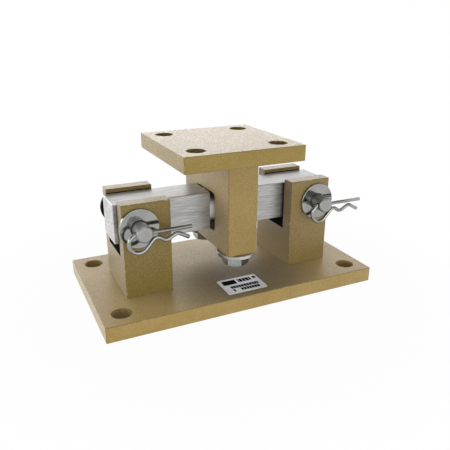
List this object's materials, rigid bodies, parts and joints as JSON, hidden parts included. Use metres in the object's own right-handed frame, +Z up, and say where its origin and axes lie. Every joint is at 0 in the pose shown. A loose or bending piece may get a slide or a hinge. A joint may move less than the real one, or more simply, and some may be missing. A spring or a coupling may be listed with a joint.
{
  "type": "load cell weighing module",
  "caption": "Weighing module: a double-ended load cell beam pinned in slotted supports on a base plate, with a window yoke that carries a bolt-down top plate.",
  "frame": {"origin": "middle of the base plate's underside", "axes": "+X along the beam, +Y from the clip side to the rear, +Z up"},
  "size_m": [0.235, 0.127, 0.1254],
  "materials": {
    "gold_zinc": "satin gold zinc plating with a fine grain",
    "beam_steel": "stainless steel, brushed lengthways",
    "cover_steel": "turned stainless disc",
    "pin_steel": "bright zinc, turned",
    "bright_zinc": "bright zinc plating",
    "black_zinc": "black passivated zinc plating",
    "spring_wire": "bright drawn wire",
    "bolt_zinc": "bright zinc plating",
    "screw_steel": "black oxide",
    "gauge_foil": "amber foil",
    "strip_board": "green board",
    "gland_metal": "plated and polished",
    "seal_rubber": "matt black",
    "plate_silver": "satin anodised"
  },
  "bodies": {
    "frame": {"base_plate": "gold_zinc", "left_support": "gold_zinc", "right_support": "gold_zinc", "left_support_screws": "screw_steel", "right_support_screws": "screw_steel", "data_plate": "plate_silver"},
    "beam": {"load_cell_beam": "beam_steel", "left_pocket_cover": "cover_steel", "right_pocket_cover": "cover_steel", "left_strain_gauge": "gauge_foil", "right_strain_gauge": "gauge_foil", "terminal_strip": "strip_board", "gland_body": "gland_metal", "gland_nut": "gland_metal", "gland_seal": "seal_rubber"},
    "top": {"yoke": "gold_zinc", "top_plate": "gold_zinc", "front_yoke_bolt": "bolt_zinc", "rear_yoke_bolt": "bolt_zinc", "front_yoke_washer": "bright_zinc", "rear_yoke_washer": "bright_zinc"},
    "left_pin_set": {"left_pin": "pin_steel", "left_front_pin_washer": "bright_zinc", "left_rear_pin_washer": "black_zinc", "left_clip": "spring_wire"},
    "right_pin_set": {"right_pin": "pin_steel", "right_front_pin_washer": "bright_zinc", "right_rear_pin_washer": "black_zinc", "right_clip": "spring_wire"}
  },
  "joints": [
    {"name": "beam_float", "type": "slide", "parent": "frame", "child": "beam", "axis": [0, 1, 0], "range_m": [-0.0022, 0.0022]},
    {"name": "yoke_tilt", "type": "hinge", "parent": "beam", "child": "top", "pos_m": [0, 0, 0.06985], "axis": [1, 0, 0], "range_deg": [-4, 4]},
    {"name": "left_pin_turn", "type": "hinge", "parent": "frame", "child": "left_pin_set", "pos_m": [-0.07938, 0, 0.06985], "axis": [0, 1, 0], "continuous": true},
    {"name": "right_pin_turn", "type": "hinge", "parent": "frame", "child": "right_pin_set", "pos_m": [0.07938, 0, 0.06985], "axis": [0, 1, 0], "continuous": true}
  ]
}
